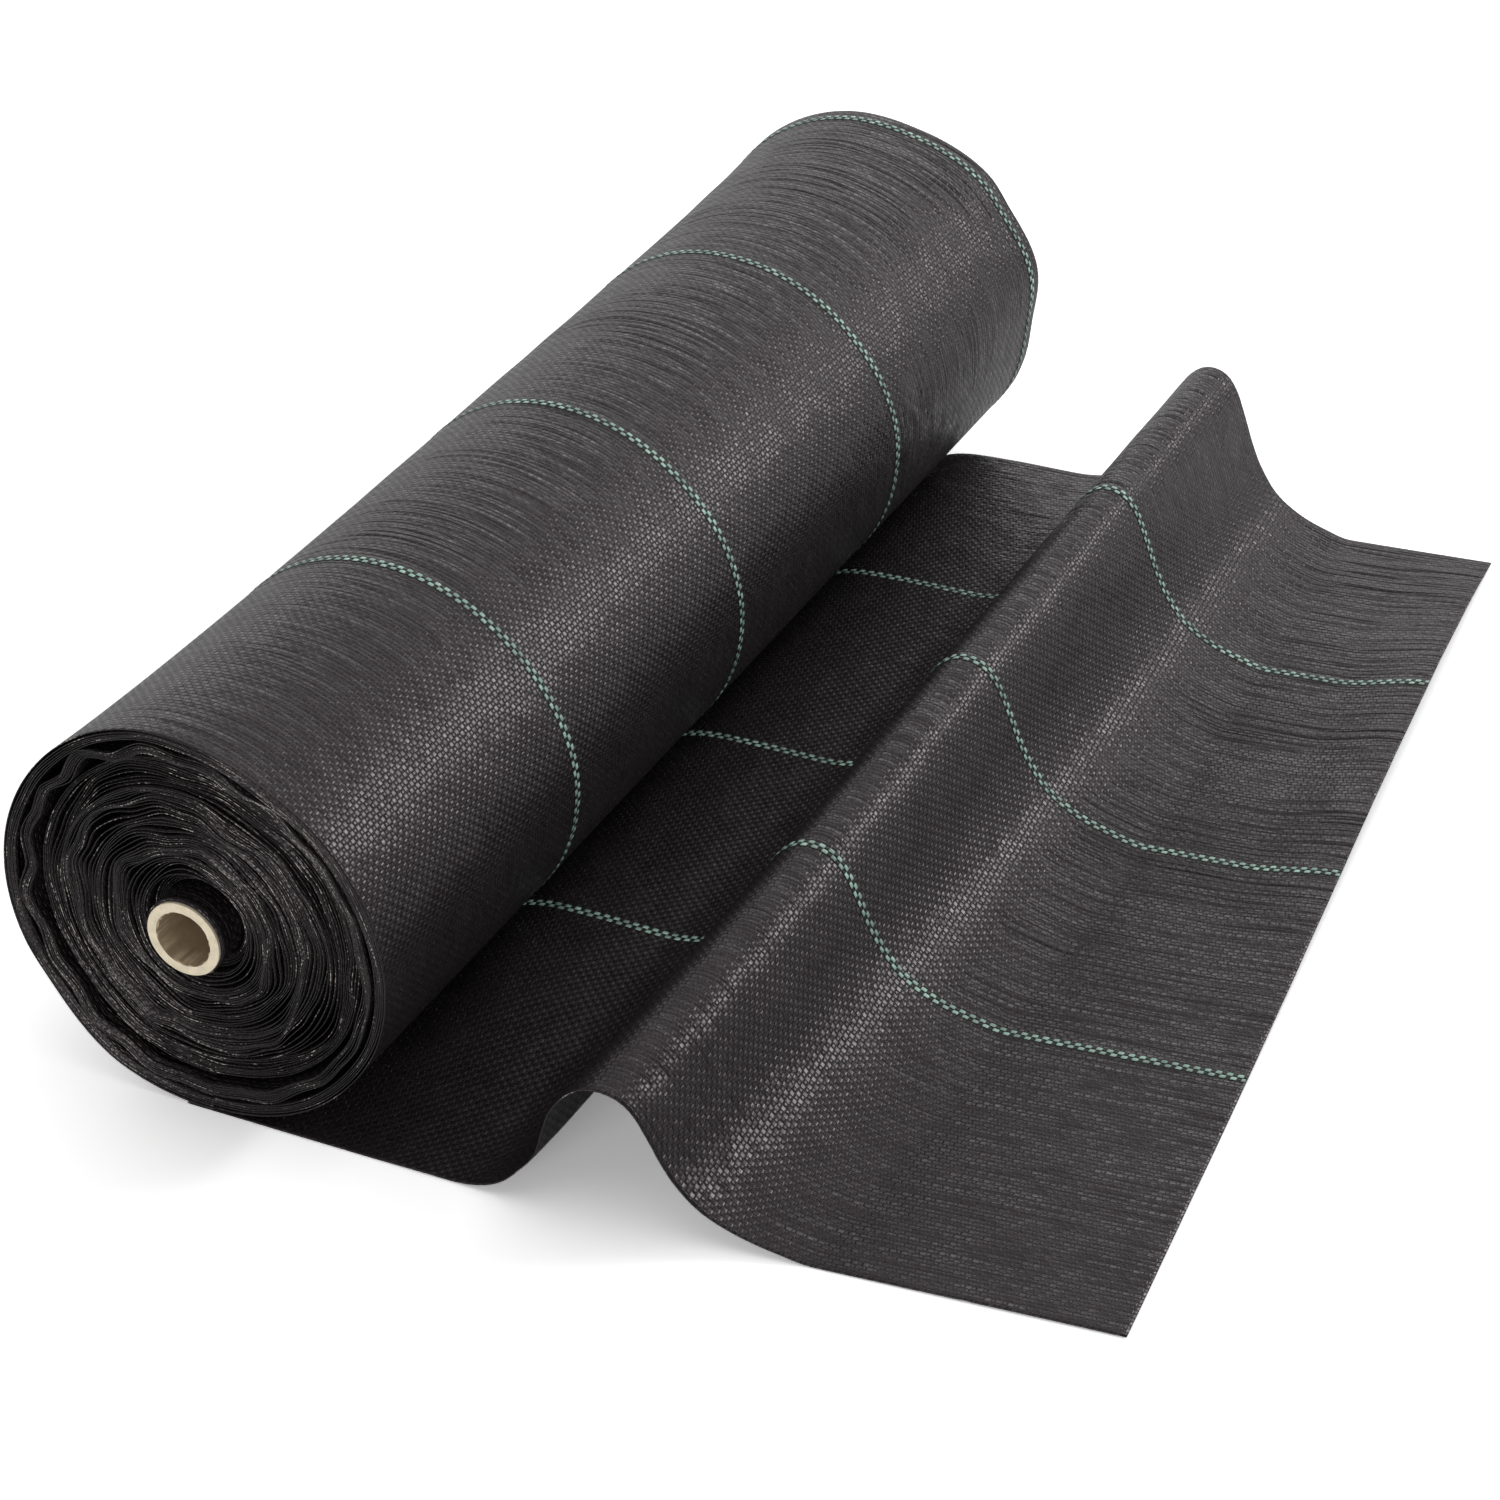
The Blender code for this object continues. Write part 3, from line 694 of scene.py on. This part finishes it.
def tear_ends(mesh, sizes):
    """The knife tears the paper at the bore and rounds the outer edge a little."""
    middle = core_middle(sizes)
    ends = middle - sizes.cloth_width / 2, middle + sizes.cloth_width / 2
    inner = sizes.core_radius - sizes.core_wall
    for vertex in mesh.vertices:
        if min(abs(vertex.co.y - end) for end in ends) > 0.01 * MM:
            continue
        x, z = vertex.co.x + ORIGIN_X, vertex.co.z - sizes.axis_height
        radius, share = math.hypot(x, z), (math.atan2(x, z) + math.pi) / FULL_TURN
        inward = 1 if vertex.co.y < middle else -1
        tear, nick = [float(unevenness(np.float64(share * cells), np.float64(row + inward), seed,
                                       wrap=cells)) for cells, row, seed in ((48, 3.0, 41), (96, 7.0, 42))]
        if radius < inner + EDGE_RING / 2:
            scale = (inner + MM * (0.8 * tear + 0.6 * nick + 0.1)) / radius
            vertex.co.x, vertex.co.z = x * scale - ORIGIN_X, z * scale + sizes.axis_height
            vertex.co.y += inward * MM * (0.9 + 0.5 * nick)
        elif radius < inner + 2 * EDGE_RING:
            vertex.co.y += inward * MM * 0.15 * (1 + tear)
        elif radius > sizes.core_radius - EDGE_RING / 2:
            vertex.co.y += inward * MM * 0.35
        else:
            vertex.co.y += inward * MM * 0.12 * tear


class CLOTHROLL_OT_core_tube(bpy.types.Operator):
    """Make the cardboard core, with the torn edge of its bore"""
    bl_idname = "clothroll.core_tube"
    bl_label = "Core tube"

    def execute(self, context):
        sizes = context.scene.roll_sizes
        piece = plain_tube(sizes)
        paint_tube(piece.data, sizes)
        tear_ends(piece.data, sizes)
        make_active(piece)
        bpy.ops.object.shade_smooth_by_angle(angle=math.radians(40))
        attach(piece, "roll")
        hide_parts("core_tube")
        return {"FINISHED"}


def spaced_heights(band, share, cells, lattice):
    """Heights of the turns in their band at one end, 0 to 1: they cling together in some places
    and gape in others."""
    ring = np.arange(band.steps)[:, None] / band.steps * cells
    fine = 6 * band.turns
    levels = np.arange(fine + 1)[None, :] / 6
    gaps = np.exp(band.spread * (0.5 * unevenness(ring, levels / 2, lattice + 5, wrap=cells)
                                 + 0.7 * unevenness(ring / 2, levels, lattice, wrap=cells // 2)
                                 + 0.7 * unevenness(ring / 4, levels / 3, lattice + 1, wrap=cells // 4)))
    stacked = np.cumsum(gaps, axis=1) - gaps
    stacked /= stacked[:, -1:]
    at_step, at_level = np.arange(len(share)) % band.steps, share * fine
    below = np.minimum(at_level.astype(int), fine - 1)
    height = stacked[at_step, below] * (1 - at_level + below)
    height += stacked[at_step, below + 1] * (at_level - below)
    return height


def crimped(height, angle, shift):
    """Heights of the crimped turns: the folds of stiff cloth are rather sharp, and they are deep
    at the upper left and shallow elsewhere."""
    cad_angle = angle - math.pi / 2
    main = CRIMP_COUNT * cad_angle + shift
    fold = 0.5 * np.sin(main) + np.arcsin(0.98 * np.sin(main)) / math.pi
    wave = ((1 - CRIMP_BEAT_SHARE) * fold
            + CRIMP_BEAT_SHARE * np.sin(CRIMP_BEAT_COUNT * cad_angle + 2 * shift))
    deep = 0.62 + 0.38 * np.cos(angle + math.radians(60))
    return 0.5 + 0.55 * (height - 0.5) + 0.34 * deep * wave


def wound_band(sizes, band, seed):
    """Cloth wound from the outside of a band to its inside, right through the roll."""
    turned = FULL_TURN * np.arange(band.turns * band.steps + 1) / band.steps
    share = 1.0 - turned / (FULL_TURN * band.turns)
    angle = np.mod(turned, FULL_TURN) - math.pi
    even = band.inner + (band.outer - band.inner) * share
    slip = through(band.slips, share)
    # Cells of about 14 mm, in fours, so that coarser and finer unevenness repeats after a turn
    cells = 4 * max(3, round(FULL_TURN * (band.inner + band.outer) / 2 / 0.056))
    around = np.mod(turned, FULL_TURN) / FULL_TURN * cells
    level = share * band.turns
    middle_depths = SAG_DEPTHS if band.inner > SAGGING_RADIUS else ((0.50,), ())
    rows = []
    for end in (0, 1):
        lattice = seed + 10 * end
        height = spaced_heights(band, share, cells, lattice)
        rim = (0.7 * band.ragged * unevenness(around / 2, level, lattice + 2, wrap=cells // 2)
               + 0.4 * band.ragged * unevenness(around, level * 1.3, lattice + 3, wrap=cells)
               + band.bunch * unevenness(around / 4, level / 2.6, lattice + 4, wrap=cells // 4))
        if band.name == "crimped_turns":
            # No two turns are folded quite alike
            height = crimped(height, angle, 0.35 * unevenness(
                around / 4, level / 3, lattice + 7, wrap=cells // 4))
        at_end = band.inner + (band.outer - band.inner) * height
        made = []
        for depth in (0.0, 0.004, 0.012, CRIMP_DEPTH, *middle_depths[end]):
            r = even + (1.0 - ease(depth / CRIMP_DEPTH)) * (at_end - even)
            y = MM * (slip * (1.0 if depth < CRIMP_DEPTH else 0.0)
                      + rim * (1.0 if depth == 0 else 0.0)) + depth
            y = y if end == 0 else sizes.cloth_width + 2 * MM * slip * (depth < CRIMP_DEPTH) - y
            r = r + lumps(angle, y, r / sizes.roll_radius, sizes)
            made.append((r, y))
        rows += made if end == 0 else made[::-1]
    points = np.stack([np.stack([r * np.sin(angle) - ORIGIN_X, y - ORIGIN_Y,
                                 sizes.axis_height + r * np.cos(angle)], -1) for r, y in rows], 1)
    run = np.concatenate([[0.0], np.cumsum((even[1:] + even[:-1]) / 2 * np.diff(turned))])
    width = np.stack([np.broadcast_to(y, turned.shape) for r, y in rows], 1)
    pitch = (band.outer - band.inner) / band.turns
    # The slack given to the wound turns is highest at the upper right and lower left of the roll's ends,
    # where their cut edges get more painted glints and the cloth wrinkles more
    return cloth_grid(band.name, points[:, ::-1], run[:, None], width[:, ::-1],
                      (black_cloth(), cut_cloth_edge()), min(0.4 * pitch, sizes.cloth_thickness), 0.0,
                      0.5 - 0.5 * np.cos(2 * (angle[:, None] - math.radians(135))))


class CLOTHROLL_OT_wound_turns(bpy.types.Operator):
    """Make the wound turns, band by band from the core outwards"""
    bl_idname = "clothroll.wound_turns"
    bl_label = "Wound turns"

    def execute(self, context):
        for number, band in enumerate(BANDS):
            piece = wound_band(context.scene.roll_sizes, band, 100 + 40 * number)
            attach(piece, "roll")
            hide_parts(band.node)
        return {"FINISHED"}


class CLOTHROLL_OT_outer_turn(bpy.types.Operator):
    """Make the outermost turn of the cloth, from its tail under the roll"""
    bl_idname = "clothroll.outer_turn"
    bl_label = "Outermost turn"

    def execute(self, context):
        sizes = context.scene.roll_sizes
        turned = np.linspace(0.0, FULL_TURN, 145)[:, None]
        places = np.linspace(0.0, sizes.cloth_width, 321)[None, :]
        points = roll_surface(sizes, turned, places)
        piece = cloth_grid("outer_turn_cloth", points, sizes.roll_radius * turned, places,
                           (black_cloth(), cut_cloth_edge()), sizes.cloth_thickness, -1.0,
                           roll_slack(turned, places))
        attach(piece, "roll")
        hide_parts("outer_turn")
        return {"FINISHED"}


def laid_line(laid, v):
    """Stations of x from the tail under the roll to the free end at share v of the width, and
    the length of cloth run at each."""
    stations = np.linspace(-laid.nip_tail, free_end(laid, v), 1400)
    return stations, length_run(laid_surface(laid, stations, v))


class CLOTHROLL_OT_laid_cloth(bpy.types.Operator):
    """Make the cloth from the nip under the roll over the ridge to the free end"""
    bl_idname = "clothroll.laid_cloth"
    bl_label = "Laid cloth"

    def execute(self, context):
        laid, sizes = context.scene.laid_sizes, context.scene.roll_sizes
        shares = np.linspace(0.0, 1.0, LAID_COLUMNS)
        columns, runs, slacks = [], [], []
        count = None
        for v in shares:
            stations, run = laid_line(laid, v)
            if count is None:
                count = round(run[-1] / LAID_STEP)
            even = np.linspace(0.0, run[-1], count + 1)
            x = np.interp(even, run, stations)
            columns.append(laid_surface(laid, x, v))
            slacks.append(laid_slack(laid, x, v))
            runs.append(even - run[-1])
        along = np.stack(runs, 1)
        across = np.broadcast_to(shares * laid.laid_width, along.shape)
        piece = cloth_grid("laid_cloth_sheet", np.stack(columns, 1), along, across,
                           (black_cloth(), cut_cloth_edge()), sizes.cloth_thickness, 0.0,
                           np.stack(slacks, 1))
        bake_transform(piece)
        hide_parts("run_off", "slack_run", "laid_sheet")
        return {"FINISHED"}


def lifted(points_of, x, across, lift):
    """Points of a surface moved along its normal by a lift."""
    step = 0.0005
    here = points_of(x, across)
    along = points_of(x + step, across) - points_of(x - step, across)
    sideways = points_of(x, across + step) - points_of(x, across - step)
    normal = np.cross(along, sideways)
    normal /= np.linalg.norm(normal, axis=-1, keepdims=True)
    return here + normal * np.asarray(lift)[..., None]


def tracer_ribbon(name, points_of, rise, stations, run, place):
    """Two green tapes side by side, each arched over the cross tapes and dipping between. They
    lie on the surface that points_of gives, raised by rise."""
    weave = bpy.context.scene.weave_sizes
    boundary = round(place / weave.tape_width)
    cycle_length = 2 * weave.pick_spacing
    pieces = []
    for number, column in enumerate((boundary - 1, boundary)):
        fine = np.arange(run[0], run[-1], cycle_length / 8)
        x = np.interp(fine, run, stations)
        cycle = fine / cycle_length + 0.5 * column
        share = cycle - np.floor(cycle)
        over = np.clip(1 - (2 * share / weave.float_share - 1)**2, 0, 1)
        dip = np.clip(1 - (2 * (share - weave.float_share) / (1 - weave.float_share) - 1)**2, 0, 1)
        lift = MM * (0.12 + 0.38 * over - 0.10 * dip)
        lines, across_lines = [], []
        for edge, drop in ((0.06, 0.10), (0.5, 0.0), (0.94, 0.10)):
            across = (column + edge) * weave.tape_width
            lines.append(lifted(points_of, x, across, lift - MM * drop * over + rise))
            across_lines.append(np.full(len(fine), across))
        pieces.append(cloth_grid(f"{name}_{number}", np.stack(lines, 1), fine[:, None],
                                 np.stack(across_lines, 1), (green_tape(),), 0.12 * MM, -1.0))
    make_active(pieces[0])
    pieces[1].select_set(True)
    bpy.ops.object.join()
    pieces[0].name = pieces[0].data.name = name
    return pieces[0]


class CLOTHROLL_OT_tracers(bpy.types.Operator):
    """Make the green tracer tapes on the roll and on the laid cloth"""
    bl_idname = "clothroll.tracers"
    bl_label = "Tracer tapes"

    def execute(self, context):
        sizes, laid = context.scene.roll_sizes, context.scene.laid_sizes
        weave = context.scene.weave_sizes

        def wound(turned, across):
            return roll_surface(sizes, turned, across)

        def flat(x, across):
            return laid_surface(laid, x, across / laid.laid_width)

        # The tail of the outermost turn, where the laid cloth meets it, is left free of tracer
        gap = math.radians(6)
        turned = np.linspace(gap, FULL_TURN - gap, 900)
        for number, share in enumerate(weave.wound_tracers, 1):
            piece = tracer_ribbon(f"tracer_{number}_wound_tape", wound, 0.0, turned,
                                  sizes.roll_radius * turned, share * sizes.cloth_width)
            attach(piece, "roll")
            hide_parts(f"tracer_{number}_wound")

        for number, share in enumerate(weave.laid_tracers, 1):
            stations, run = laid_line(laid, share)
            piece = tracer_ribbon(f"tracer_{number}_laid_tape", flat, sizes.cloth_thickness / 2,
                                  stations, run - run[-1], share * laid.laid_width)
            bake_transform(piece)
            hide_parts(f"tracer_{number}_run_off", f"tracer_{number}_slack_run",
                        f"tracer_{number}_laid_sheet")
        return {"FINISHED"}


def pale_floor():
    """Matt floor, exposed white for the camera, while the roll is lit by its own pale colour."""
    deselect_all()
    bpy.ops.mesh.primitive_plane_add(size=30.0, location=(0.0, 0.0, 0.0))
    floor = bpy.context.active_object
    floor.name = "floor"
    material = bpy.data.materials.new("pale matt floor")
    material.use_nodes = True
    material.node_tree.nodes.clear()
    add = partial(add_node, material.node_tree)
    path = add("LightPath")
    gain = add("MapRange", {"Value": path.outputs["Is Camera Ray"], 3: 1.0, 4: 1.9})
    seen = add("VectorMath", {0: tuple(bpy.context.scene.finishes.floor_white),
                              "Scale": gain}, operation="SCALE")
    matt = add("BsdfDiffuse", {"Color": seen})
    level = add("Math", {0: path.outputs["Is Camera Ray"], 1: 0.20}, operation="MULTIPLY")
    glow = add("Emission", {"Strength": level})
    both = add("AddShader", {0: matt, 1: glow})
    add("OutputMaterial", {"Surface": both})
    floor.data.materials.append(material)


def studio_world():
    """White studio, graded by direction; the camera sees it white at least."""
    world = bpy.data.worlds.new("studio")
    bpy.context.scene.world = world
    world.use_nodes = True
    world.node_tree.nodes.clear()
    add = partial(add_node, world.node_tree)
    at = add("TexCoord")
    part = add("SeparateXYZ", {0: at.outputs["Generated"]})
    strength = 1.0
    for axis, start, end, at_start, at_end in STUDIO_GRADES:
        grade = add("MapRange", {"Value": part.outputs[axis], 1: start, 2: end,
                                 3: at_start, 4: at_end}, interpolation_type="SMOOTHSTEP")
        strength = add("Math", {0: strength, 1: grade}, operation="MULTIPLY")
    path = add("LightPath")
    strength = add("Math", {0: strength, 1: path.outputs["Is Camera Ray"]}, operation="MAXIMUM")
    sky = add("Background", {"Color": (1.0, 1.0, 1.0, 1.0), "Strength": strength})
    add("OutputWorld", {"Surface": sky})


def studio_lamps():
    for name, place, size, power in LAMPS:
        light = bpy.data.lights.new(name, "AREA")
        light.shape = "RECTANGLE"
        light.size, light.size_y = size
        light.energy = power
        lamp = bpy.data.objects.new(name, light)
        bpy.context.scene.collection.objects.link(lamp)
        lamp.location = place
        aim = Vector(LAMP_TARGET) - Vector(place)
        lamp.rotation_euler = aim.to_track_quat("-Z", "Y").to_euler()
        lamp.visible_camera = False


def fitted_camera():
    """Camera fitted to the outlines of the roll and of the laid cloth."""
    camera = bpy.data.objects.new("camera", bpy.data.cameras.new("camera"))
    bpy.context.scene.collection.objects.link(camera)
    camera.data.lens = 102.23
    camera.data.sensor_width = 36.0
    camera.location = (1.07065, -2.26404, 1.63181)
    camera.rotation_euler = [math.radians(angle) for angle in (57.6105, 1.4898, 26.4809)]
    bpy.context.scene.camera = camera


class CLOTHROLL_OT_stage(bpy.types.Operator):
    """Make the pale floor, the soft light and the camera"""
    bl_idname = "clothroll.stage"
    bl_label = "Stage"

    def execute(self, context):
        pale_floor()
        studio_world()
        studio_lamps()
        fitted_camera()
        context.scene.view_settings.view_transform = "Standard"
        return {"FINISHED"}


class CLOTHROLL_PT_pieces(bpy.types.Panel):
    """Lists the pieces of the roll, its sizes and its colours"""
    bl_label = "Cloth roll"
    bl_idname = "CLOTHROLL_PT_pieces"
    bl_space_type = "VIEW_3D"
    bl_region_type = "UI"
    bl_category = "Cloth Roll"

    def draw(self, context):
        for operator in OPERATORS:
            self.layout.operator(operator.bl_idname)
        for group in GROUPS:
            box = self.layout.box()
            values = getattr(context.scene, group)
            for name in values.bl_rna.properties.keys():
                if name not in ("rna_type", "name"):
                    box.prop(values, name)


GROUPS = {"roll_sizes": RollSizes, "laid_sizes": LaidSizes, "weave_sizes": WeaveSizes,
          "finishes": Finishes}
OPERATORS = (CLOTHROLL_OT_core_tube, CLOTHROLL_OT_wound_turns, CLOTHROLL_OT_outer_turn,
             CLOTHROLL_OT_laid_cloth, CLOTHROLL_OT_tracers, CLOTHROLL_OT_stage)


def register():
    for name, group in GROUPS.items():
        bpy.utils.register_class(group)
        setattr(bpy.types.Scene, name, bpy.props.PointerProperty(type=group))
    for item in (*OPERATORS, CLOTHROLL_PT_pieces):
        bpy.utils.register_class(item)


def unregister():
    for item in (CLOTHROLL_PT_pieces, *reversed(OPERATORS)):
        bpy.utils.unregister_class(item)
    for name, group in GROUPS.items():
        delattr(bpy.types.Scene, name)
        bpy.utils.unregister_class(group)


def main():
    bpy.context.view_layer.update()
    register()
    bpy.ops.clothroll.core_tube()
    bpy.ops.clothroll.wound_turns()
    bpy.ops.clothroll.outer_turn()
    bpy.ops.clothroll.laid_cloth()
    bpy.ops.clothroll.tracers()
    bpy.ops.clothroll.stage()
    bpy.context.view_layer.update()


if __name__ == "__main__":
    main()
